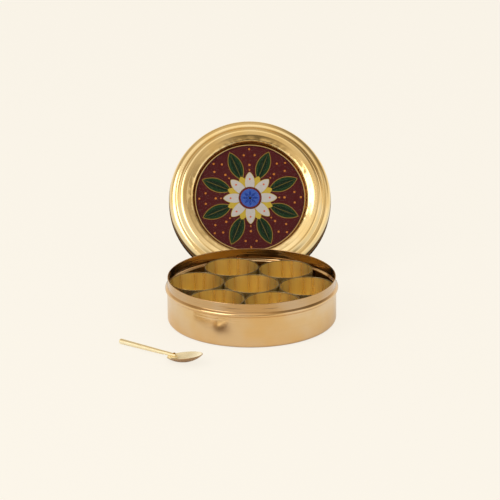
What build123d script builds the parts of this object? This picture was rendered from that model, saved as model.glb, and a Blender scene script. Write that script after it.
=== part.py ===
# Round brass spice box, open: a drawn drum with seven loose bowls standing in it,
# its lid leaning on edge behind it, and a small spoon lying in front.
# Millimetres. +Z is up, +X to the right, -Y towards the viewer.
# The origin is the middle of the drum's flat bottom.
from build123d import *
import math
import os

# Drum: one sheet, with a neck for the lid and a pressed bead that stops it
drum_height = 54.0
neck_radius = 100.0
wall_step = 0.6
drum_sheet = 0.8
drum_foot_radius = 4.0
bead_projection = 2.3
bead_drop = 13.7
bead_crest_radius = 2.2
bead_flank_angle = 50.0
bead_foot_radius = 1.0

# Seven equal bowls, as wide as three in a row fit in the neck; the ring has turned a little
bowl_side_gap = 0.4
bowl_taper = 2.0
bowl_height = 43.2
bowl_sheet = 0.7
bowl_corner_radius = 5.0
bowl_gap = 0.4
bowl_ring_turn = -8.5
bowls_in_ring = 6

# Lid, measured up from the lower edge of its skirt
lid_sheet = 0.8
skirt_clearance = 0.8
skirt_height = 12.4
skirt_bend_radius = 1.0
ledge_rise = 1.0
shoulder_inset = 0.6
shoulder_flare = 21.0
groove_straight = 1.96
deck_height = 26.1
deck_flat = 2.4
deck_bend = 1.2
ring_rise = 6.5
ring_outer_slope = 4.0
ring_outer_bend = 4.0
ring_top_width = 15.7
ring_inner_bend = 9.0
well_draft = 0.6
well_depth = 12.2
well_bend = 1.0

# Picture set in the lid's well: pad, printed disc, clear cover, and a brass band round them
well_gap = 1.25
band_width = 1.2
band_proud = 0.2
picture_clearance = 0.05
pad_thickness = 0.4
print_thickness = 1.2
cover_thickness = 1.0

# Lid as it stands: on the edge of its skirt, leaning back
lid_lean = 33.0
lid_turn = 1.5
lid_stand_x = -1.6
lid_gap = 29.56

# Spoon: a dished bowl with a flat lug inside its back end, a turned handle lying on the lug,
# and one rivet through both; it is placed by the far end of its handle
spoon_handle_x = -153.3
spoon_handle_y = -81.3
spoon_heading = -38.6
spoon_reach = 98.0
spoon_half_length = 24.4
spoon_half_width = 15.6
spoon_depth = 7.2
spoon_sheet = 0.9
spoon_tilt = 13.0
lug_top = 3.5
lug_thickness = 1.2
lug_width = 7.0
lug_length = 13.0
lug_overhang = 0.8
handle_end_diameter = 6.4
handle_neck_diameter = 4.4
handle_end_round = 1.4
handle_tip_round = 1.2
handle_overlap = 11.0
handle_flat_depth = 1.4
rivet_diameter = 1.8
rivet_head_diameter = 3.2
rivet_head_height = 0.8
rivet_inset = 8.0
rivet_clench_height = 0.5
rivet_clench_diameter = 2.8

os.makedirs("parts", exist_ok=True)


def save(piece, name):
    piece.part.label = name
    export_step(piece.part, f"parts/{name}.step")


# Drum
wall_radius = neck_radius + wall_step
bead_radius = wall_radius + bead_projection
bead_height = drum_height - bead_drop
bead_flank = math.radians(bead_flank_angle)
bead_apex_radius = bead_radius - bead_crest_radius + bead_crest_radius / math.cos(bead_flank)
bead_slope = math.tan(bead_flank)
bead_bottom = bead_height - (bead_apex_radius - wall_radius) / bead_slope
bead_top = bead_height + (bead_apex_radius - neck_radius) / bead_slope

with BuildPart() as box_body:
    with BuildSketch(Plane.XZ):
        with BuildLine():
            FilletPolyline(
                (0, 0),
                (wall_radius, 0),
                (wall_radius, bead_bottom),
                (bead_apex_radius, bead_height),
                (neck_radius, bead_top),
                (neck_radius, drum_height),
                radius=[drum_foot_radius, bead_foot_radius, bead_crest_radius, bead_foot_radius],
            )
            offset(amount=drum_sheet, side=Side.LEFT)
        make_face()
    revolve(axis=Axis.Z)
save(box_body, "box_body")

# Bowls
bowl_rim_radius = (neck_radius - drum_sheet - bowl_side_gap - bowl_gap) / 3
bowl_base_radius = bowl_rim_radius - bowl_taper
bowl_pitch = 2 * bowl_rim_radius + bowl_gap
bowl_places = {"bowl_center": (0.0, 0.0)}
for number in range(bowls_in_ring):
    bearing = math.radians(bowl_ring_turn + 360.0 * number / bowls_in_ring)
    bowl_places[f"bowl_ring_{number + 1}"] = (
        bowl_pitch * math.cos(bearing),
        bowl_pitch * math.sin(bearing),
    )


def make_bowl(place):
    foot = Plane(origin=(place[0], place[1], drum_sheet), x_dir=(1, 0, 0), z_dir=(0, -1, 0))
    with BuildPart() as bowl:
        with BuildSketch(foot):
            with BuildLine():
                FilletPolyline(
                    (0, 0),
                    (bowl_base_radius, 0),
                    (bowl_rim_radius, bowl_height),
                    radius=bowl_corner_radius,
                )
                offset(amount=bowl_sheet, side=Side.LEFT)
            make_face()
        revolve(axis=Axis(foot.origin, (0, 0, 1)))
    return bowl


for bowl_name, bowl_place in bowl_places.items():
    save(make_bowl(bowl_place), bowl_name)

# Lid: its axis leans back from the viewer, and its skirt's lower edge stands on the surface
skirt_radius = neck_radius + skirt_clearance + lid_sheet
lean = math.radians(lid_lean)
turn = math.radians(lid_turn)
lid_axis = Vector(math.cos(lean) * math.sin(turn), -math.cos(lean) * math.cos(turn), math.sin(lean))
lid_across = Vector(math.cos(turn), math.sin(turn), 0)
lid_stand_y = bead_radius + lid_gap + skirt_radius * math.sin(lean)
lid_foot = Vector(lid_stand_x, lid_stand_y, skirt_radius * math.cos(lean))
lid_profile = Plane(origin=lid_foot, x_dir=lid_across, z_dir=lid_across.cross(lid_axis))
lid_spin = Axis(lid_foot, lid_axis)

shoulder_radius = skirt_radius - shoulder_inset
flare = math.radians(shoulder_flare)
groove_height = skirt_height + ledge_rise
shoulder_reach = (deck_height - groove_height) / math.cos(flare) - groove_straight
shoulder_round = shoulder_reach * math.cos(flare) / (1 + math.sin(flare))
shoulder_corner_radius = shoulder_radius - shoulder_round + shoulder_reach
groove_radius = shoulder_corner_radius - (deck_height - groove_height) * math.tan(flare)
ring_foot_radius = shoulder_radius - shoulder_round - deck_flat
ring_outer_radius = ring_foot_radius - ring_outer_slope
well_mouth_radius = ring_outer_radius - ring_top_width
well_radius = well_mouth_radius - well_draft
crest_height = deck_height + ring_rise
well_floor = crest_height - well_depth

with BuildPart() as lid_shell:
    with BuildSketch(lid_profile):
        with BuildLine():
            FilletPolyline(
                (skirt_radius, 0),
                (skirt_radius, skirt_height),
                (groove_radius, groove_height),
                (shoulder_corner_radius, deck_height),
                (ring_foot_radius, deck_height),
                (ring_outer_radius, crest_height),
                (well_mouth_radius, crest_height),
                (well_radius, well_floor),
                (0, well_floor),
                radius=[
                    skirt_bend_radius,
                    skirt_bend_radius,
                    shoulder_round,
                    deck_bend,
                    ring_outer_bend,
                    ring_inner_bend,
                    well_bend,
                ],
            )
            offset(amount=lid_sheet, side=Side.LEFT)
        make_face()
    revolve(axis=lid_spin)
save(lid_shell, "lid_shell")


def lid_level(height):
    return Plane(origin=lid_foot + lid_axis * height, x_dir=lid_across, z_dir=lid_axis)


# Picture
band_outer_radius = well_radius - well_gap
band_inner_radius = band_outer_radius - band_width
picture_radius = band_inner_radius - picture_clearance
print_bottom = well_floor + pad_thickness
print_top = print_bottom + print_thickness
cover_top = print_top + cover_thickness

with BuildPart() as picture_pad:
    with BuildSketch(lid_level(well_floor)):
        Circle(picture_radius)
    extrude(amount=pad_thickness)
save(picture_pad, "picture_pad")

with BuildPart() as picture_disc:
    with BuildSketch(lid_level(print_bottom)):
        Circle(picture_radius)
    extrude(amount=print_thickness)
save(picture_disc, "picture_disc")

with BuildPart() as picture_cover:
    with BuildSketch(lid_level(print_top)):
        Circle(picture_radius)
    extrude(amount=cover_thickness)
save(picture_cover, "picture_cover")

with BuildPart() as picture_band:
    with BuildSketch(lid_level(well_floor)):
        Circle(band_outer_radius)
        Circle(band_inner_radius, mode=Mode.SUBTRACT)
    extrude(amount=cover_top + band_proud - well_floor)
save(picture_band, "picture_band")

# Spoon bowl: the lower cap of a long spheroid, cut by the rim plane, resting on the surface
heading = math.radians(spoon_heading)
tilt = math.radians(spoon_tilt)
spoon_run = Vector(math.cos(heading), math.sin(heading), 0)
spoon_side = Vector(-math.sin(heading), math.cos(heading), 0)
rim_along = spoon_run * math.cos(tilt) + Vector(0, 0, math.sin(tilt))
rim_normal = Vector(0, 0, math.cos(tilt)) - spoon_run * math.sin(tilt)
ball_radius = (spoon_half_width**2 + spoon_depth**2) / (2 * spoon_depth)
ball_length = ball_radius * spoon_half_length / spoon_half_width
ball_rise = ball_radius - spoon_depth
ball_height = math.hypot(ball_length * math.sin(tilt), ball_radius * math.cos(tilt))
rim_height = ball_height - ball_rise * math.cos(tilt)
spoon_foot = Vector(spoon_handle_x, spoon_handle_y, 0)
rim_center = spoon_foot + spoon_run * spoon_reach + Vector(0, 0, rim_height)
ball_center = rim_center + rim_normal * ball_rise
spoon_back = spoon_reach - spoon_half_length * math.cos(tilt)
lug_plane = Plane(
    origin=spoon_foot + spoon_run * (spoon_back - lug_overhang) + Vector(0, 0, lug_top),
    x_dir=spoon_run,
    z_dir=(0, 0, 1),
)
rivet_plane = Plane(
    origin=spoon_foot + spoon_run * (spoon_back + rivet_inset) + Vector(0, 0, lug_top),
    x_dir=spoon_run,
    z_dir=(0, 0, 1),
)

with BuildPart() as spoon_bowl:
    with BuildSketch(Plane(origin=ball_center, x_dir=rim_along, z_dir=spoon_side * -1)):
        Ellipse(ball_length, ball_radius)
        Ellipse(ball_length - spoon_sheet, ball_radius - spoon_sheet, mode=Mode.SUBTRACT)
        with Locations((0, ball_radius)):
            Rectangle(3 * ball_length, 2 * ball_radius, mode=Mode.SUBTRACT)
    revolve(axis=Axis(ball_center, rim_along))
    split(bisect_by=Plane(origin=rim_center, x_dir=rim_along, z_dir=rim_normal), keep=Keep.BOTTOM)
    with BuildSketch(lug_plane):
        with Locations((lug_length / 2, 0)):
            SlotOverall(lug_length, lug_width)
    extrude(amount=-lug_thickness)
    with BuildSketch(rivet_plane):
        Circle(rivet_diameter / 2)
    extrude(amount=-lug_thickness, mode=Mode.SUBTRACT)
save(spoon_bowl, "spoon_bowl")

# Spoon handle: a tapered round rod, flat underneath where it lies on the lug
handle_run = spoon_back + handle_overlap
neck_height = lug_top + handle_flat_depth
handle_start = spoon_foot + Vector(0, 0, handle_end_diameter / 2)
handle_rise = neck_height - handle_end_diameter / 2
handle_dir = (spoon_run * handle_run + Vector(0, 0, handle_rise)).normalized()
handle_length = math.hypot(handle_run, handle_rise)

with BuildPart() as spoon_handle:
    with BuildSketch(Plane(origin=handle_start, x_dir=handle_dir, z_dir=spoon_side * -1)):
        with BuildLine():
            FilletPolyline(
                (0, 0),
                (0, handle_end_diameter / 2),
                (handle_length, handle_neck_diameter / 2),
                (handle_length, 0),
                radius=[handle_end_round, handle_tip_round],
            )
            Line((handle_length, 0), (0, 0))
        make_face()
    revolve(axis=Axis(handle_start, handle_dir))
    with BuildSketch(lug_plane):
        with Locations((lug_length / 2, 0)):
            Rectangle(2 * lug_length, 2 * lug_width)
    extrude(amount=-2 * handle_end_diameter, mode=Mode.SUBTRACT)
    with BuildSketch(rivet_plane):
        Circle(rivet_diameter / 2)
    extrude(amount=2 * handle_end_diameter, mode=Mode.SUBTRACT)
save(spoon_handle, "spoon_handle")

# Rivet: its domed head beds on the handle, its shank is clenched under the lug
rivet_head_base = handle_flat_depth + handle_neck_diameter / 2

with BuildPart() as spoon_rivet:
    with BuildSketch(rivet_plane):
        Circle(rivet_diameter / 2)
    extrude(amount=rivet_head_base + rivet_head_height / 2)
    with BuildSketch(rivet_plane):
        Circle(rivet_diameter / 2)
    extrude(amount=-lug_thickness)
    with BuildSketch(rivet_plane.offset(-lug_thickness)):
        Circle(rivet_clench_diameter / 2)
    extrude(amount=-rivet_clench_height)
    with BuildSketch(rivet_plane.offset(rivet_head_base)):
        Circle(rivet_head_diameter / 2)
    extrude(amount=rivet_head_height, taper=30)
save(spoon_rivet, "spoon_rivet")
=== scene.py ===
import math

import bmesh
import bpy
from mathutils import Matrix, Quaternion, Vector


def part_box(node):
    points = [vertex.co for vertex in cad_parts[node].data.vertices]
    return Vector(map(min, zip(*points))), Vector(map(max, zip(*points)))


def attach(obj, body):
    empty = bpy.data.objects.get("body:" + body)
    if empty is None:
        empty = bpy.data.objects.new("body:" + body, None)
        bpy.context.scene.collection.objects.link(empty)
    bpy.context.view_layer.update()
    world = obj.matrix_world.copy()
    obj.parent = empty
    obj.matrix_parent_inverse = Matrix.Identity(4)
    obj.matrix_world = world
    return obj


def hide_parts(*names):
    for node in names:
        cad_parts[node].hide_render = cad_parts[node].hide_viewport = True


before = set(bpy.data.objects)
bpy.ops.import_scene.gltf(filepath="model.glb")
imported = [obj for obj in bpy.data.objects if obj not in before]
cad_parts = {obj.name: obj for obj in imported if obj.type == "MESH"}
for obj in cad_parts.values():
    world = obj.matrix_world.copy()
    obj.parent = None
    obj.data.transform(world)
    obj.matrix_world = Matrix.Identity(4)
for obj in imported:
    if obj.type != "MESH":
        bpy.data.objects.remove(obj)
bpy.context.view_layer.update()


# Drum: the box itself, drawn and spun from one brass sheet, with a neck for the lid and a
# pressed bead under the neck that stops the lid's skirt. The wall is polished and shows the
# fine rings that turning leaves and a slow waviness from hand spinning.
def rounded(corners, radii, steps=8):
    """The line through the corners as (radius, height) points, each inner corner on its own arc.
    Two more points near the ends of a long straight stretch keep its shading flat."""
    points = [Vector(corners[0])]
    ease = 0.0006

    def run_to(goal):
        run = goal - points[-1]
        if run.length > 4 * ease:
            points.extend([points[-1] + run.normalized() * ease, goal - run.normalized() * ease])

    for before, at, after, radius in zip(corners, corners[1:], corners[2:], radii):
        corner = Vector(at)
        back = (Vector(before) - corner).normalized()
        ahead = (Vector(after) - corner).normalized()
        half = back.angle(ahead) / 2
        center = corner + (back + ahead).normalized() * (radius / math.sin(half))
        first = corner + back * (radius / math.tan(half)) - center
        last = corner + ahead * (radius / math.tan(half)) - center
        sweep = first.angle(last)
        run_to(center + first)
        for step in range(steps + 1):
            share = step / steps
            spoke = first * math.sin((1 - share) * sweep) + last * math.sin(share * sweep)
            points.append(center + spoke / math.sin(sweep))
    run_to(Vector(corners[-1]))
    points.append(Vector(corners[-1]))
    return points


def sheet_section(line, sheet):
    """Closed section of a sheet: the line, a half-round edge at its first point, and the inner line.
    A sheet below zero lies on the line's right-hand side."""
    inner = []
    for index, point in enumerate(line):
        run = line[min(index + 1, len(line) - 1)] - line[max(index - 1, 0)]
        inner.append(point + Vector((-run.y, run.x)).normalized() * sheet)
    edge_run = (line[0] - line[1]).normalized() * (abs(sheet) / 2)
    edge_mid = (line[0] + inner[0]) / 2 - edge_run
    side = (line[0] - inner[0]) / 2
    edge = []
    edge_steps = 6
    for step in range(1, edge_steps):
        turn = math.pi * step / edge_steps
        edge.append(edge_mid - side * math.cos(turn) + edge_run * math.sin(turn))
    inner[0] = inner[0] - edge_run
    return [line[0] - edge_run] + line[1:] + inner[::-1] + edge


def piece_from(bm, name):
    """An object made of the finished bmesh, with flat faces."""
    mesh = bpy.data.meshes.new(name)
    bm.to_mesh(mesh)
    bm.free()
    piece = bpy.data.objects.new(name, mesh)
    bpy.context.scene.collection.objects.link(piece)
    return piece


def smooth(piece):
    """The piece is shaded smooth, but for its sharp edges."""
    piece.data.shade_smooth()
    piece.data.set_sharp_from_angle(angle=math.radians(40))
    return piece


def spun(name, section, foot, axis, turns):
    """The section, in (radius, height), spun about the axis that rises from foot."""
    bm = bmesh.new()
    corners = [bm.verts.new((point.x, 0, point.y)) for point in section]
    sides = [bm.edges.new(pair) for pair in zip(corners, corners[1:])]
    on_axis = 1e-6
    if section[0].x > on_axis or section[-1].x > on_axis:
        sides.append(bm.edges.new((corners[-1], corners[0])))
    bmesh.ops.spin(
        bm,
        geom=corners + sides,
        cent=(0, 0, 0),
        axis=(0, 0, 1),
        dvec=(0, 0, 0),
        angle=math.tau,
        steps=turns,
        use_merge=True,
        use_normal_flip=False,
        use_duplicate=False,
    )
    bmesh.ops.remove_doubles(bm, verts=bm.verts, dist=2 * on_axis)
    bmesh.ops.recalc_face_normals(bm, faces=bm.faces)
    upright = Vector(axis).to_track_quat("Z", "Y").to_matrix().to_4x4()
    bmesh.ops.transform(bm, matrix=Matrix.Translation(foot) @ upright, verts=bm.verts)
    return smooth(piece_from(bm, name))


def feed(tree, node, *in_turn, **named):
    """The node's first inputs get the values in turn and the named ones their own. A value is a
    socket to link or a setting."""
    for key, value in [*enumerate(in_turn), *named.items()]:
        socket = node.inputs[key.replace("_", " ") if isinstance(key, str) else key]
        if isinstance(value, bpy.types.NodeSocket):
            tree.links.new(value, socket)
        else:
            socket.default_value = value
    return node


def group_of(name, inputs, outputs):
    """An empty shader group with its sockets, and its two end nodes."""
    group = bpy.data.node_groups.new(name, "ShaderNodeTree")
    for socket, kind in inputs:
        group.interface.new_socket(socket, in_out="INPUT", socket_type=kind)
    for socket, kind in outputs:
        group.interface.new_socket(socket, in_out="OUTPUT", socket_type=kind)
    return group, group.nodes.new("NodeGroupInput"), group.nodes.new("NodeGroupOutput")


def vector_math(tree, operation, *values, **named):
    """The result socket of a vector math node."""
    node = tree.nodes.new("ShaderNodeVectorMath")
    node.operation = operation
    feed(tree, node, *values, **named)
    return node.outputs["Value" if operation in ("LENGTH", "DOT_PRODUCT") else "Vector"]


def number_math(tree, operation, *values):
    """The result socket of a math node."""
    node = tree.nodes.new("ShaderNodeMath")
    node.operation = operation
    return feed(tree, node, *values).outputs[0]


def product(tree, first, second):
    """The result socket of the two multiplied."""
    return number_math(tree, "MULTIPLY", first, second)


def dimmed(tree, mask, share=1.0):
    """1 where the mask is 0, and less by the share where it is 1."""
    return number_math(tree, "MULTIPLY_ADD", mask, -share, 1.0)


def soft_step(tree, value, low, high):
    """A smooth rise from 0 to 1 while the value goes from low to high."""
    node = tree.nodes.new("ShaderNodeMapRange")
    node.interpolation_type = "SMOOTHSTEP"
    return feed(tree, node, Value=value, From_Min=low, From_Max=high).outputs["Result"]


def noise(tree, vector, scale, detail=2.0, roughness=0.5):
    """The value socket of a noise texture on the vector."""
    node = tree.nodes.new("ShaderNodeTexNoise")
    feed(tree, node, Vector=vector, Scale=scale, Detail=detail, Roughness=roughness)
    return node.outputs["Fac"]


def own_place(tree):
    """The socket with the object's own coordinates."""
    return tree.nodes.new("ShaderNodeTexCoord").outputs["Object"]


def mixed(tree, first, second, factor, blend="MIX", kind="RGBA"):
    """The result socket of a mix of two sockets, colours or numbers."""
    node = tree.nodes.new("ShaderNodeMix")
    node.data_type = kind
    node.blend_type = blend
    first, second = ((*value, 1) if isinstance(value, tuple) else value for value in (first, second))
    return feed(tree, node, A=first, B=second, Factor=factor).outputs["Result"]


def shade(color, share):
    """The colour made darker or lighter by the share, each channel at most 1."""
    return tuple(min(channel * share, 1.0) for channel in color)


def new_material(name):
    """A material with its tree and its shader."""
    material = bpy.data.materials.new(name)
    material.use_nodes = True
    return material, material.node_tree, material.node_tree.nodes["Principled BSDF"]


def tinted(material, tint, mask):
    """The material's colour is multiplied by the tint where the mask is 1."""
    tree = material.node_tree
    base = tree.nodes["Principled BSDF"].inputs["Base Color"]
    tree.links.new(mixed(tree, base.links[0].from_socket, tint, mask, "MULTIPLY"), base)


def bumped(tree, shader, height, distance=1.0):
    """The height, in metres where the distance is 1, bends the shader's normals."""
    bump = feed(tree, tree.nodes.new("ShaderNodeBump"), Strength=1.0, Distance=distance, Height=height)
    feed(tree, shader, Normal=bump.outputs["Normal"])


def dress(piece, material, body, slot, *nodes):
    """The piece gets its material, rides on its body and stands for its CAD nodes."""
    piece.data.materials.clear()
    piece.data.materials.append(material)
    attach(piece, body)
    if nodes:
        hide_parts(*nodes)


turning, turning_in, turning_out = group_of(
    "turning marks",
    [
        ("Place", "NodeSocketVector"),
        ("Foot", "NodeSocketVector"),
        ("Axis", "NodeSocketVector"),
        ("Fineness", "NodeSocketFloat"),
    ],
    [
        ("Rings", "NodeSocketFloat"),
        ("Waves", "NodeSocketFloat"),
        ("Height", "NodeSocketFloat"),
        ("Reach", "NodeSocketFloat"),
    ],
)
from_foot = vector_math(turning, "SUBTRACT", turning_in.outputs["Place"], turning_in.outputs["Foot"])
rise = vector_math(turning, "DOT_PRODUCT", from_foot, turning_in.outputs["Axis"])
up_axis = vector_math(turning, "SCALE", turning_in.outputs["Axis"], Scale=rise)
reach = vector_math(turning, "LENGTH", vector_math(turning, "SUBTRACT", from_foot, up_axis))
ring_place = feed(turning, turning.nodes.new("ShaderNodeCombineXYZ"), X=reach, Y=rise)
fine_place = vector_math(turning, "SCALE", ring_place.outputs[0], Scale=turning_in.outputs["Fineness"])
feed(
    turning,
    turning_out,
    Rings=noise(turning, fine_place, 1.0, 3.0, 0.6),
    Waves=noise(turning, from_foot, 16.0, 1.0, 0.4),
    Height=rise,
    Reach=reach,
)


def polished_brass(
    name,
    color,
    foot,
    axis,
    roughness,
    fineness=2600.0,
    waves=0.0006,
    dents=0.0,
    rings=0.00001,
    warm=0.0,
    lines=(),
):
    """Spun brass, polished: turning marks about the piece's own axis over a slow waviness, with
    warmer patches and soft turned lines, each a (height, half width, depth)."""
    darkest = 0.90
    lightest = 1.06
    roughness_spread = 0.08
    warm_tint = (1.0, 0.90, 0.66)
    patch_scale = 24.0
    dent_scale = 62.0
    material, tree, shader = new_material(name)
    place = own_place(tree)
    group = tree.nodes.new("ShaderNodeGroup")
    group.node_tree = turning
    marks = feed(tree, group, Place=place, Foot=foot, Axis=axis, Fineness=fineness).outputs
    feed(
        tree,
        shader,
        Metallic=1.0,
        Base_Color=mixed(tree, shade(color, darkest), shade(color, lightest), marks["Rings"]),
        Roughness=number_math(
            tree, "MULTIPLY_ADD", marks["Rings"], roughness_spread, roughness - roughness_spread / 2
        ),
    )
    patches = soft_step(tree, noise(tree, place, patch_scale), 0.38, 0.66)
    tinted(material, warm_tint, product(tree, patches, warm))
    height = number_math(
        tree, "ADD", product(tree, marks["Rings"], rings), product(tree, marks["Waves"], waves)
    )
    height = number_math(tree, "MULTIPLY_ADD", noise(tree, place, dent_scale, 1.0, 0.4), dents, height)
    for level, half_width, depth in lines:
        away = number_math(tree, "ABSOLUTE", number_math(tree, "SUBTRACT", marks["Height"], level))
        height = number_math(
            tree, "MULTIPLY_ADD", soft_step(tree, away, 0.0, half_width), depth, height
        )
    bumped(tree, shader, height)
    return material


up = Vector((0, 0, 1))
drum_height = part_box("box_body")[1].z
sheet = 0.0008
neck_radius = 0.100
wall_radius = 0.1006
drum_foot_radius = 0.004
bead_radius = 0.1029
bead_height = drum_height - 0.0137
bead_crest_radius = 0.0022
bead_foot_radius = 0.001
bead_flank = math.radians(50)
bead_apex = bead_radius - bead_crest_radius + bead_crest_radius / math.cos(bead_flank)
neck_line_height = drum_height - 0.0054
wall_line_height = drum_height - 0.0205
drum_color = (0.75, 0.54, 0.315)
drum_roughness = 0.16
neck_dimming_and_inside_shade = (0.78, 0.73, 0.70)
drum_line = rounded(
    [
        (neck_radius, drum_height),
        (neck_radius, bead_height + (bead_apex - neck_radius) / math.tan(bead_flank)),
        (bead_apex, bead_height),
        (wall_radius, bead_height - (bead_apex - wall_radius) / math.tan(bead_flank)),
        (wall_radius, 0),
        (0, 0),
    ],
    [bead_foot_radius, bead_crest_radius, bead_foot_radius, drum_foot_radius],
)
# The line runs down the outside, so the sheet lies on its right-hand side
drum = spun("drum", sheet_section(drum_line, -sheet), (0, 0, 0), up, 256)
drum_brass = polished_brass(
    "polished drum brass",
    drum_color,
    (0, 0, 0),
    up,
    drum_roughness,
    dents=0.00002,
    warm=0.75,
    lines=[(neck_line_height, 0.0012, 0.00007), (wall_line_height, 0.0014, 0.00005)],
)
# The neck is painted darker and duller than the wall, and the inside of the box is painted
# darker as painted shade
drum_tree = drum_brass.node_tree
drum_marks = drum_tree.nodes["Group"].outputs
outside = soft_step(
    drum_tree, drum_marks["Reach"], neck_radius - 0.75 * sheet, neck_radius - 0.25 * sheet
)
on_neck = soft_step(drum_tree, drum_marks["Height"], bead_height, bead_height + 0.003)
tinted(drum_brass, neck_dimming_and_inside_shade, number_math(drum_tree, "MAXIMUM", on_neck, dimmed(drum_tree, outside)))
dress(drum, drum_brass, "drum", "brass_box", "box_body")


# Bowls: seven equal deep cups, each drawn from thin brass sheet and brushed upwards inside
# and out, with a plain cut rim. They stand loose on the drum's floor, six in a ring round
# the seventh, and the ring has turned a little.
def sides_of(tree, vector):
    """The X, Y and Z sockets of the vector."""
    return feed(tree, tree.nodes.new("ShaderNodeSeparateXYZ"), Vector=vector).outputs


brushing, brushing_in, brushing_out = group_of(
    "upright brushing",
    [("Place", "NodeSocketVector"), ("Foot", "NodeSocketVector"), ("Fineness", "NodeSocketFloat")],
    [("Streaks", "NodeSocketFloat"), ("Patches", "NodeSocketFloat"), ("Rise", "NodeSocketFloat")],
)
bowl_place = vector_math(brushing, "SUBTRACT", brushing_in.outputs["Place"], brushing_in.outputs["Foot"])
bearing = vector_math(brushing, "NORMALIZE", vector_math(brushing, "MULTIPLY", bowl_place, (1, 1, 0)))
low_rise = vector_math(brushing, "MULTIPLY", bowl_place, (0, 0, 0.8))
streak_place = vector_math(brushing, "ADD", bearing, low_rise)
fine_streak = vector_math(brushing, "SCALE", streak_place, Scale=brushing_in.outputs["Fineness"])
bowl_rise = sides_of(brushing, bowl_place)["Z"]
on_wall = soft_step(brushing, bowl_rise, 0.001, 0.006)
patches = noise(brushing, streak_place, 3.0, 1.0, 0.5)
feed(
    brushing,
    brushing_out,
    Streaks=noise(brushing, fine_streak, 1.0, 4.0, 0.7),
    Patches=number_math(
        brushing, "MULTIPLY_ADD", number_math(brushing, "SUBTRACT", patches, 0.5), on_wall, 0.5
    ),
    Rise=bowl_rise,
)


def brushed_brass(name, color, foot, rim):
    """Thin drawn brass with fine upright brushing about the bowl's own axis, dull at the cut rim."""
    darkest = 0.88
    lightest = 1.16
    fineness = 38.0
    brush_depth = 0.00006
    rim_tint = (0.36, 0.35, 0.42)
    tint_start = rim - 0.0013
    tint_full = rim - 0.0006
    material, tree, shader = new_material(name)
    group = tree.nodes.new("ShaderNodeGroup")
    group.node_tree = brushing
    marks = feed(tree, group, Place=own_place(tree), Foot=foot, Fineness=fineness).outputs
    lightness = number_math(
        tree,
        "ADD",
        product(tree, soft_step(tree, marks["Patches"], 0.36, 0.62), 0.6),
        number_math(tree, "MULTIPLY_ADD", marks["Streaks"], 1.2, -0.4),
    )
    feed(
        tree,
        shader,
        Metallic=0.94,
        Base_Color=mixed(tree, shade(color, darkest), shade(color, lightest), lightness),
        Roughness=number_math(tree, "MULTIPLY_ADD", marks["Patches"], 0.15, 0.21),
    )
    tinted(material, rim_tint, soft_step(tree, marks["Rise"], tint_start, tint_full))
    bumped(tree, shader, marks["Streaks"], brush_depth)
    return material


bowl_rim_radius = 0.0328
bowl_base_radius = 0.0308
bowl_height = 0.0432
bowl_sheet = 0.0007
bowl_corner_radius = 0.005
bowl_color = (0.99, 0.75, 0.355)
bowl_line = rounded(
    [(bowl_rim_radius, bowl_height), (bowl_base_radius, 0), (0, 0)], [bowl_corner_radius]
)
bowl_section = sheet_section(bowl_line, -bowl_sheet)
for bowl_name in ["bowl_center"] + [f"bowl_ring_{number}" for number in range(1, 7)]:
    low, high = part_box(bowl_name)
    bowl_foot = Vector(((low.x + high.x) / 2, (low.y + high.y) / 2, low.z))
    bowl = spun(bowl_name + "_cup", bowl_section, bowl_foot, up, 128)
    dress(
        bowl,
        brushed_brass(bowl_name + " brushed brass", bowl_color, bowl_foot, bowl_height),
        bowl_name,
        "brass_bowl",
        bowl_name,
    )


# Lid: one spun brass sheet with a straight skirt that goes over the drum's neck, a groove
# above that, a rounded shoulder, and a broad ring that rolls over into a deep well. It stands
# on the edge of its skirt and leans back.
def soft_band(tree, value, start, full, fade, end):
    """A mask that rises from start to full and falls from fade to end."""
    return number_math(
        tree, "SUBTRACT", soft_step(tree, value, start, full), soft_step(tree, value, fade, end)
    )


lid_lean = math.radians(33)
lid_turn = math.radians(1.5)
lid_axis = Vector(
    (
        math.cos(lid_lean) * math.sin(lid_turn),
        -math.cos(lid_lean) * math.cos(lid_turn),
        math.sin(lid_lean),
    )
)
neck_clearance = 0.0008
skirt_radius = neck_radius + neck_clearance + sheet
skirt_height = 0.0124
lid_foot = Vector((-0.0016, 0.1878, skirt_radius * math.cos(lid_lean)))
deck_height = 0.0261
groove_height = 0.0134
flare = math.radians(21)
shoulder_radius = 0.101
shoulder_round = 0.008
shoulder_reach = shoulder_round * (1 + math.sin(flare)) / math.cos(flare)
shoulder_corner = shoulder_radius - shoulder_round + shoulder_reach
groove_radius = shoulder_corner - (deck_height - groove_height) * math.tan(flare)
crest_height = deck_height + 0.0065
well_floor = crest_height - 0.0122
ring_foot = (0.0910, deck_height)
ring_outer = (0.0864, crest_height + 0.0003)
ring_inner = (0.0795, crest_height - 0.0008)
well_mouth = (0.0711, crest_height - 0.0034)
well_radius = 0.0703
sharp_bend = 0.001
lid_color = (0.85, 0.67, 0.37)
lid_roughness = 0.13
groove_painted_shade = (0.20, 0.14, 0.10)
groove_shade_fades = (0.0106, 0.0114, 0.0142, 0.0165)
well_painted_shade = (0.66, 0.56, 0.48)
well_shade_fades = (0.0680, 0.0695, 0.0702, 0.0716)
dent_fades = (0.0680, 0.0700, 0.0720, 0.0790)
dent_depth = 0.0007
dent_scale = 120.0
lid_bends = [sharp_bend, sharp_bend, shoulder_round, 0.003, 0.005, 0.009, 0.004, sharp_bend]
lid_line = rounded(
    [
        (skirt_radius, 0),
        (skirt_radius, skirt_height),
        (groove_radius, groove_height),
        (shoulder_corner, deck_height),
        ring_foot,
        ring_outer,
        ring_inner,
        well_mouth,
        (well_radius, well_floor),
        (0, well_floor),
    ],
    lid_bends,
    12,
)
lid = spun("lid", sheet_section(lid_line, sheet), lid_foot, lid_axis, 256)
lid_brass = polished_brass(
    "polished lid brass", lid_color, lid_foot, lid_axis, lid_roughness, dents=0.00006, warm=0.6
)
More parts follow.
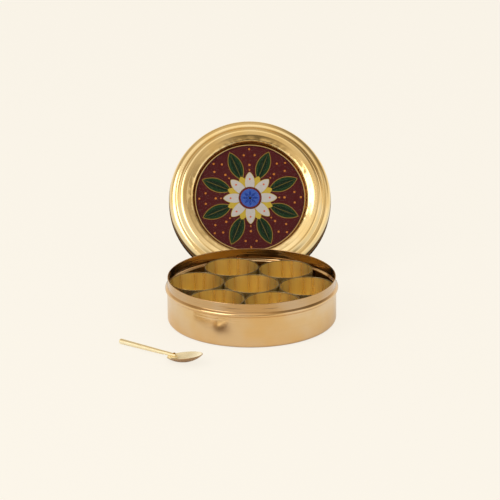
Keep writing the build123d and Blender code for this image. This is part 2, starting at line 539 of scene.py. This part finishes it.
# The skirt's top, the groove above it and the steep wall of the well are painted dark as
# painted shade, and the roll-over is dented from the spinning tool
lid_tree = lid_brass.node_tree
lid_marks = lid_tree.nodes["Group"].outputs
tinted(lid_brass, groove_painted_shade, soft_band(lid_tree, lid_marks["Height"], *groove_shade_fades))
tinted(lid_brass, well_painted_shade, soft_band(lid_tree, lid_marks["Reach"], *well_shade_fades))
on_roll = soft_band(lid_tree, lid_marks["Reach"], *dent_fades)
lid_height = lid_tree.nodes["Bump"].inputs["Height"]
dented = number_math(
    lid_tree,
    "MULTIPLY_ADD",
    noise(lid_tree, own_place(lid_tree), dent_scale, 1.0, 0.4),
    product(lid_tree, on_roll, dent_depth),
    lid_height.links[0].from_socket,
)
lid_tree.links.new(dented, lid_height)
dress(lid, lid_brass, "lid", "brass_lid", "lid_shell")


# Picture: a printed card on a backing pad in the lid's well, under a clear gloss sheet and
# inside a thin brass band. The print is a plain round floral one on maroon: a white rosette
# with a blue heart, eight gold-edged green leaves round it and small orange dots.
across = Vector((math.cos(lid_turn), math.sin(lid_turn), 0))
uphill = lid_axis.cross(across)
print_place = Matrix.Translation(lid_foot) @ Matrix(
    (
        (across.x, uphill.x, lid_axis.x, 0),
        (across.y, uphill.y, lid_axis.y, 0),
        (across.z, uphill.z, lid_axis.z, 0),
        (0, 0, 0, 1),
    )
)
print_level = well_floor + 0.0004
ground_top = print_level + 0.00105
ink_step = 0.00001
ink_thickness = 0.5 * ink_step
picture_radius = 0.0678
print_roughness = 0.4
print_gloss = 0.08


def ink(name, color, roughness=0.5, gloss=0.5, mottle=0.12):
    """An even printed or painted surface, slightly mottled."""
    grain = 420.0
    material, tree, shader = new_material(name)
    mottled = noise(tree, own_place(tree), grain, 3.0, 0.6)
    feed(
        tree,
        shader,
        Base_Color=mixed(tree, shade(color, 1 - mottle), shade(color, 1 + mottle), mottled),
        Roughness=roughness,
        Specular_IOR_Level=gloss,
    )
    return material


def ring_of(bearings, out, length, width, pointed=0):
    """Equal shapes for printed, one at each bearing."""
    return [(bearing, out, length, width, pointed) for bearing in bearings]


def thicken(bm, thickness):
    """The flat faces are drawn up into slabs of that thickness."""
    drawn = bmesh.ops.extrude_face_region(bm, geom=bm.faces[:])["geom"]
    corners = [item for item in drawn if isinstance(item, bmesh.types.BMVert)]
    bmesh.ops.translate(bm, vec=(0, 0, thickness), verts=corners)


def printed(name, color, layer, shapes):
    """Flat printed shapes, each a (bearing, distance out, length, width, pointedness)."""
    bm = bmesh.new()
    for bearing, out, length, width, pointed in shapes:
        made = bmesh.ops.create_circle(bm, cap_ends=True, segments=32, radius=0.5)["verts"]
        for corner in made:
            taper = 1 - (corner.co.x * 2) ** 2
            corner.co.y = corner.co.y * max(taper, 0) ** pointed * width
            corner.co.x *= length
        heading = math.radians(bearing)
        spot = Vector((math.cos(heading), math.sin(heading), 0)) * out
        bmesh.ops.transform(
            bm, matrix=Matrix.Translation(spot) @ Matrix.Rotation(heading, 4, "Z"), verts=made
        )
    thicken(bm, ink_thickness)
    bmesh.ops.remove_doubles(bm, verts=bm.verts, dist=1e-7)
    bmesh.ops.recalc_face_normals(bm, faces=bm.faces)
    level = Matrix.Translation((0, 0, ground_top + ink_step * layer))
    bmesh.ops.transform(bm, matrix=print_place @ level, verts=bm.verts)
    inked = ink(name + " ink", color, print_roughness, print_gloss)
    dress(piece_from(bm, name), inked, "lid", "print")


maroon = (0.085, 0.010, 0.011)
ground = spun(
    "print_ground",
    [
        Vector((0, print_level)),
        Vector((picture_radius, print_level)),
        Vector((picture_radius, ground_top)),
        Vector((0, ground_top)),
    ],
    lid_foot,
    lid_axis,
    128,
)
ground_ink = ink("maroon ground", maroon, print_roughness, print_gloss, 0.2)
dress(ground, ground_ink, "lid", "print", "picture_disc")
eighth = 45
eighths = [eighth * step for step in range(8)]
between = [bearing + eighth / 2 for bearing in eighths]
beside = [bearing + side for bearing in eighths for side in (-7, 7)]
dots = (
    ring_of(eighths, 0.0430, 0.0028, 0.0028)
    + ring_of(beside, 0.0560, 0.0026, 0.0026)
    + ring_of(eighths, 0.0635, 0.0026, 0.0026)
    + ring_of(eighths, 0.0365, 0.0020, 0.0020)
)
printed("leaf_edges", (0.36, 0.21, 0.03), 1, ring_of(between, 0.0448, 0.0400, 0.0176, 0.42))
printed("leaves", (0.012, 0.040, 0.012), 2, ring_of(between, 0.0448, 0.0378, 0.0160, 0.42))
printed("leaf_hearts", (0.006, 0.020, 0.008), 3, ring_of(between, 0.0440, 0.0330, 0.0088, 0.42))
printed("leaf_ribs", (0.16, 0.12, 0.02), 4, ring_of(between, 0.0440, 0.0340, 0.0008, 0.2))
printed("orange_dots", (0.66, 0.22, 0.03), 1, dots)
printed("sepals", (0.60, 0.42, 0.05), 5, ring_of(between, 0.0175, 0.0250, 0.0116, 0.25))
printed("petal_edges", (0.58, 0.40, 0.05), 6, ring_of(eighths, 0.0190, 0.0296, 0.0138, 0.22))
printed("petals", (0.60, 0.55, 0.50), 7, ring_of(eighths, 0.0194, 0.0276, 0.0118, 0.22))
printed("petal_dots", (0.68, 0.12, 0.03), 8, ring_of(eighths, 0.0245, 0.0024, 0.0024))
printed("heart_ring", (0.14, 0.022, 0.012), 9, ring_of([0], 0, 0.0290, 0.0290))
printed("heart", (0.050, 0.115, 0.46), 10, ring_of([0], 0, 0.0236, 0.0236))
printed("heart_petals", (0.020, 0.055, 0.30), 11, ring_of(eighths, 0.0058, 0.0076, 0.0030, 0.3))
printed("heart_dot", (0.012, 0.012, 0.018), 12, ring_of([0], 0, 0.0036, 0.0036))

cover_material, cover_tree, cover_shader = new_material("clear gloss sheet")
feed(cover_tree, cover_shader, Base_Color=(0.02, 0.02, 0.02, 1), Roughness=0.04, Alpha=0.05)
card = ink("card backing", (0.17, 0.12, 0.07), 0.8)
for node_name, material, slot in (
    ("picture_pad", card, "pad"),
    ("picture_cover", cover_material, "cover"),
):
    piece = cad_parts[node_name]
    piece.data.materials.clear()
    piece.data.materials.append(material)

band_inner_radius = 0.06785
band_outer_radius = 0.06905
band_edge = 0.00015
band_top = well_floor + 0.0028
band_color = (0.50, 0.36, 0.17)
band = spun(
    "band",
    [
        Vector((band_inner_radius, well_floor)),
        Vector((band_outer_radius, well_floor)),
        Vector((band_outer_radius, band_top - band_edge)),
        Vector((band_outer_radius - band_edge, band_top)),
        Vector((band_inner_radius + band_edge, band_top)),
        Vector((band_inner_radius, band_top - band_edge)),
    ],
    lid_foot,
    lid_axis,
    192,
)
band_brass = polished_brass("band brass", band_color, lid_foot, lid_axis, 0.16)
dress(band, band_brass, "lid", "brass_trim", "picture_band")


# Spoon: a dished bowl with a flat lug inside its back end, a tapered round handle lying on the
# lug, and one rivet through both. Cast brass, paler than the box and worn satin inside the
# dish; the hammered rivet has gone dull, and the dish's underside is painted darker as painted shade.
spoon_heading = math.radians(-38.6)
spoon_tilt = math.radians(13)
spoon_run = Vector((math.cos(spoon_heading), math.sin(spoon_heading), 0))
spoon_foot = Vector((-0.1533, -0.0813, 0))
spoon_reach = 0.098
spoon_color = (0.93, 0.84, 0.61)
underside_shade_color = (0.42, 0.27, 0.16)
half_length = 0.0244
half_width = 0.0156
dish_stretch = half_length / half_width
dish_depth = 0.0072
dish_sheet = 0.0009
ball_radius = (half_width**2 + dish_depth**2) / (2 * dish_depth)
ball_length = ball_radius * dish_stretch
ball_rise = ball_radius - dish_depth
dish_rim_height = (
    math.hypot(ball_length * math.sin(spoon_tilt), ball_radius * math.cos(spoon_tilt))
    - ball_rise * math.cos(spoon_tilt)
)
dish_place = (
    Matrix.Translation(spoon_foot + spoon_run * spoon_reach + Vector((0, 0, dish_rim_height)))
    @ Matrix.Rotation(spoon_heading, 4, "Z")
    @ Matrix.Rotation(-spoon_tilt, 4, "Y")
)
opening = math.asin(half_width / ball_radius)
dish_steps = 28
dish_line = [
    Vector((ball_radius * math.sin(turn), ball_rise - ball_radius * math.cos(turn)))
    for turn in [opening * (1 - step / dish_steps) for step in range(dish_steps + 1)]
]
dish = spun("dish", sheet_section(dish_line, -dish_sheet), (0, 0, 0), up, 96)
dish.data.transform(dish_place @ Matrix.Diagonal((dish_stretch, 1, 1, 1)))

lug_top = 0.0035
lug_thickness = 0.0012
lug_width = 0.007
lug_length = 0.013
lug_edge = 0.00025
lug_overhang = 0.0008
dish_start = spoon_reach - half_length * math.cos(spoon_tilt)
lug_start = dish_start - lug_overhang
bm = bmesh.new()
bmesh.ops.create_circle(bm, cap_ends=True, segments=48, radius=lug_width / 2)
far_half = [corner for corner in bm.verts if corner.co.x > 1e-6]
bmesh.ops.translate(bm, vec=(lug_length - lug_width, 0, 0), verts=far_half)
thicken(bm, lug_thickness)
bmesh.ops.recalc_face_normals(bm, faces=bm.faces)
bmesh.ops.bevel(
    bm,
    geom=[edge for edge in bm.edges if edge.calc_face_angle(0) > math.radians(60)],
    offset=lug_edge,
    offset_type="OFFSET",
    segments=3,
    profile=0.5,
    affect="EDGES",
    material=-1,
)
lug_middle = spoon_foot + spoon_run * (lug_start + lug_width / 2)
lug_place = Matrix.Translation(lug_middle + Vector((0, 0, lug_top - lug_thickness)))
bmesh.ops.transform(bm, matrix=lug_place @ Matrix.Rotation(spoon_heading, 4, "Z"), verts=bm.verts)
lug = smooth(piece_from(bm, "lug"))

dish_brass = polished_brass(
    "dish brass",
    spoon_color,
    spoon_foot,
    spoon_run,
    0.26,
    fineness=900.0,
    waves=0.0003,
    rings=0.000003,
    warm=0.5,
)
dish_tree = dish_brass.node_tree
dish_tree.nodes["Principled BSDF"].inputs["Metallic"].default_value = 0.5
dish_frame = dish_tree.nodes.new("ShaderNodeMapping")
dish_frame.vector_type = "TEXTURE"
feed(
    dish_tree,
    dish_frame,
    Vector=own_place(dish_tree),
    Location=dish_place @ Vector((0, 0, ball_rise)),
    Rotation=(0, -spoon_tilt, spoon_heading),
    Scale=(dish_stretch, 1, 1),
)
ball_reach = vector_math(dish_tree, "LENGTH", dish_frame.outputs["Vector"])
# Painted shade: the outside of the dish is darkened
shaded_underside = soft_step(dish_tree, ball_reach, ball_radius - 0.0007, ball_radius - 0.0003)
tinted(dish_brass, underside_shade_color, shaded_underside)
dress(dish, dish_brass, "spoon", "brass_spoon", "spoon_bowl")
dress(lug, dish_brass, "spoon", "brass_spoon")

handle_end = 0.0032
handle_neck = 0.0022
handle_neck_height = lug_top + 0.0014
handle_run = dish_start + 0.011
handle_bends = [0.0016, 0.0020]
grip_steps = 48
long_run = 0.02
handle_start = spoon_foot + Vector((0, 0, handle_end))
handle_axis = spoon_run * handle_run + Vector((0, 0, handle_neck_height - handle_end))
handle_length = handle_axis.length
handle_line = rounded(
    [(0, 0), (handle_end, 0), (handle_neck, handle_length), (0, handle_length)], handle_bends
)
# The long side is divided so that the neck can be pressed flat where it lies on the lug
grip = [handle_line[0]]
for before, after in zip(handle_line, handle_line[1:]):
    steps = grip_steps if (after - before).length > long_run else 1
    grip += [before.lerp(after, step / steps) for step in range(1, steps + 1)]
handle = spun("handle", grip, handle_start, handle_axis.normalized(), 64)
for corner in handle.data.vertices:
    if (corner.co - spoon_foot).dot(spoon_run) > lug_start - lug_length / 2:
        corner.co.z = max(corner.co.z, lug_top)
handle_brass = polished_brass(
    "handle brass",
    spoon_color,
    spoon_foot,
    spoon_run,
    0.34,
    fineness=500.0,
    waves=0.0001,
    rings=0.000002,
    warm=0.4,
)
dress(handle, handle_brass, "spoon", "brass_spoon", "spoon_handle")

rivet_run = dish_start + 0.008
rivet_foot = spoon_foot + spoon_run * rivet_run + Vector((0, 0, lug_top - 0.0017))
clench_radius = 0.0014
clench_height = 0.0005
shank_radius = 0.0009
head_radius = 0.0016
head_top_radius = 0.0013
head_base = 0.0053
rivet_height = 0.0061
rivet_bend = 0.0001
rivet_color = (0.42, 0.24, 0.06)
rivet_line = rounded(
    [
        (0, 0),
        (clench_radius, 0),
        (clench_radius, clench_height),
        (shank_radius, clench_height),
        (shank_radius, head_base),
        (head_radius, head_base),
        (head_top_radius, rivet_height),
        (0, rivet_height),
    ],
    [0.0003, rivet_bend, rivet_bend, rivet_bend, rivet_bend, 0.0005],
    4,
)
rivet = spun("rivet", rivet_line, rivet_foot, up, 48)
rivet_brass = polished_brass("rivet brass", rivet_color, rivet_foot, up, 0.35, waves=0.0002)
dress(rivet, rivet_brass, "spoon", "brass_rivet", "spoon_rivet")


# Studio: a plain cream floor and backdrop, two wide soft lamps, a plain room that only shows
# in reflections, and a camera about 2.8 m away that was fitted to the photo.
cream = (0.973, 0.921, 0.823)
daylight = (1.0, 0.985, 0.955)
daylight_level = 0.72
background = bpy.data.worlds.new("studio")
bpy.context.scene.world = background
background.use_nodes = True
sky_tree = background.node_tree
sky_ray = sky_tree.nodes.new("ShaderNodeLightPath").outputs
mirrored_ray = number_math(sky_tree, "MAXIMUM", sky_ray["Is Glossy Ray"], sky_ray["Is Transmission Ray"])
seen = number_math(sky_tree, "MAXIMUM", sky_ray["Is Camera Ray"], mirrored_ray)
sky_level = mixed(sky_tree, daylight_level, 1.0, seen, kind="FLOAT")
sky_color = mixed(sky_tree, daylight, cream, seen)
# What polished metal sees of the room: pale low down, a dimmer wall above that and a bright
# ceiling, dimmer again high up on the right and behind, and darkest straight in front
toward = sides_of(sky_tree, sky_tree.nodes.new("ShaderNodeTexCoord").outputs["Generated"])
room = sky_tree.nodes.new("ShaderNodeValToRGB")
room.color_ramp.interpolation = "EASE"
stops = room.color_ramp.elements
stops.remove(stops[-1])
for spot, level in ((0, 1.15), (0.22, 1.15), (0.40, 0.80), (0.70, 0.84), (0.82, 1.15), (0.92, 1.35)):
    stop = stops.new(spot) if spot else stops[0]
    stop.color = (level, level, level, 1)
feed(sky_tree, room, Fac=toward["Z"])
rightward = product(
    sky_tree, soft_step(sky_tree, toward["X"], 0.06, 0.5), soft_step(sky_tree, toward["Z"], 0.35, 0.6)
)
backward = product(
    sky_tree, soft_step(sky_tree, toward["Y"], -0.43, -0.17), soft_step(sky_tree, toward["Z"], 0.45, 0.75)
)
frontward = soft_step(sky_tree, product(sky_tree, toward["Y"], -1.0), 0.83, 0.98)
room_level = room.outputs["Color"]
for mask, share in ((rightward, 0.50), (backward, 0.44), (frontward, 0.90)):
    room_level = product(sky_tree, room_level, dimmed(sky_tree, mask, share))
# The dimmer parts of the room are also warmer
room_color = mixed(sky_tree, (0.98, 0.80, 0.54), cream, soft_step(sky_tree, room_level, 0.55, 1.3))
feed(
    sky_tree,
    sky_tree.nodes["Background"],
    Color=mixed(sky_tree, sky_color, room_color, sky_ray["Is Glossy Ray"]),
    Strength=mixed(sky_tree, sky_level, room_level, sky_ray["Is Glossy Ray"], kind="FLOAT"),
)

floor_radius = 6.0
floor_drop = 0.0002
floor_shadow_reach = 0.16
floor_shadow_power = 2.4
painted_hollow_shadow_color = (0.03, 0.018, 0.011)
bm = bmesh.new()
bmesh.ops.create_circle(bm, cap_ends=True, segments=96, radius=floor_radius)
floor = piece_from(bm, "floor")
floor.location = (0, 0, -floor_drop)
floor_material, floor_tree, floor_shader = new_material("cream floor")
feed(floor_tree, floor_shader, Base_Color=(*cream, 1), Roughness=0.9, Specular_IOR_Level=0.0)
floor_ray = floor_tree.nodes.new("ShaderNodeLightPath").outputs
floor_place = own_place(floor_tree)
floor_sides = sides_of(floor_tree, floor_place)
# In the metal the floor looks as pale as to the eye, but for where the object shades it and
# towards the dark end of the room in front
open_floor = floor_tree.nodes.new("ShaderNodeAmbientOcclusion")
open_floor.samples = 8
feed(floor_tree, open_floor, Distance=floor_shadow_reach)
openness = number_math(floor_tree, "POWER", open_floor.outputs["AO"], floor_shadow_power)
near = soft_step(floor_tree, product(floor_tree, floor_sides["Y"], -1.0), 0.28, 0.52)
glow_level = product(
    floor_tree,
    product(floor_tree, openness, dimmed(floor_tree, near, 0.85)),
    number_math(floor_tree, "MAXIMUM", floor_ray["Is Glossy Ray"], floor_ray["Is Transmission Ray"]),
)
glow_level = number_math(floor_tree, "MAXIMUM", floor_ray["Is Camera Ray"], glow_level)
# Straight in front of the drum the metal sees it warmer than at the sides
aside = soft_step(floor_tree, number_math(floor_tree, "ABSOLUTE", floor_sides["X"]), 0.05, 0.17)
mirrored_color = mixed(floor_tree, (0.96, 0.97, 0.95), (0.89, 0.78, 0.58), dimmed(floor_tree, aside))
floor_glow = feed(
    floor_tree,
    floor_tree.nodes.new("ShaderNodeEmission"),
    Color=mixed(floor_tree, cream, mirrored_color, floor_ray["Is Glossy Ray"]),
)


# For reflections only, the floor is painted dark as painted shade in the hollow under the
# leaning lid and at its edges behind the lid's two sides, and the lid's skirt mirrors both
def reach_from(tree, place, center, radii):
    """The distance from the center, 1 on the ellipse with those radii."""
    away = vector_math(tree, "SUBTRACT", place, (*center, 0))
    away = vector_math(tree, "MULTIPLY", away, (1 / radii[0], 1 / radii[1], 0))
    return vector_math(tree, "LENGTH", away)


either_side = vector_math(floor_tree, "ABSOLUTE", floor_place)
dark_reach = number_math(
    floor_tree,
    "MINIMUM",
    reach_from(floor_tree, floor_place, (0, 0.26), (0.190, 0.170)),
    reach_from(floor_tree, either_side, (0.135, 0.42), (0.055, 0.150)),
)
hollow = dimmed(floor_tree, soft_step(floor_tree, dark_reach, 0.8, 1.15))
dark = feed(floor_tree, floor_tree.nodes.new("ShaderNodeEmission"), Color=(*painted_hollow_shadow_color, 1))
floor_end = floor_shader.outputs[0]
for share, shader in (
    (product(floor_tree, glow_level, 0.88), floor_glow),
    (product(floor_tree, hollow, floor_ray["Is Glossy Ray"]), dark),
):
    layer = floor_tree.nodes.new("ShaderNodeMixShader")
    floor_end = feed(floor_tree, layer, share, floor_end, shader.outputs[0]).outputs[0]
feed(floor_tree, floor_tree.nodes["Material Output"], Surface=floor_end)
floor.data.materials.append(floor_material)


def soft_lamp(name, place, size, power):
    """A square soft lamp that faces the drum."""
    lamp = bpy.data.lights.new(name, "AREA")
    lamp.size = size
    lamp.energy = power
    holder = bpy.data.objects.new(name, lamp)
    holder.location = place
    holder.rotation_mode = "QUATERNION"
    holder.rotation_quaternion = (Vector((0, 0, 0.05)) - Vector(place)).to_track_quat("-Z", "Y")
    bpy.context.scene.collection.objects.link(holder)


soft_lamp("left lamp", (-1.6, -1.3, 1.5), 1.7, 22)
soft_lamp("right lamp", (1.7, -0.9, 1.3), 1.4, 3)

# The camera's distance and elevation are taken from a point in the middle of the drum's mouth
camera_distance = 2.808
camera_elevation = math.radians(19.408)
camera_roll = math.radians(-0.446)
mouth_level = 0.05417
aim_point = Vector((-0.0017, 0, 0.0860))
camera_place = Vector(
    (
        0,
        -camera_distance * math.cos(camera_elevation),
        mouth_level + camera_distance * math.sin(camera_elevation),
    )
)
lens = bpy.data.cameras.new("camera")
lens.sensor_width = 36
lens.lens = 170.17
lens.clip_end = 50
camera = bpy.data.objects.new("camera", lens)
bpy.context.scene.collection.objects.link(camera)
camera.location = camera_place
camera.rotation_mode = "QUATERNION"
camera.rotation_quaternion = (aim_point - camera_place).to_track_quat("-Z", "Y") @ Quaternion(
    (0, 0, 1), camera_roll
)
bpy.context.scene.camera = camera
bpy.context.scene.view_settings.view_transform = "Standard"
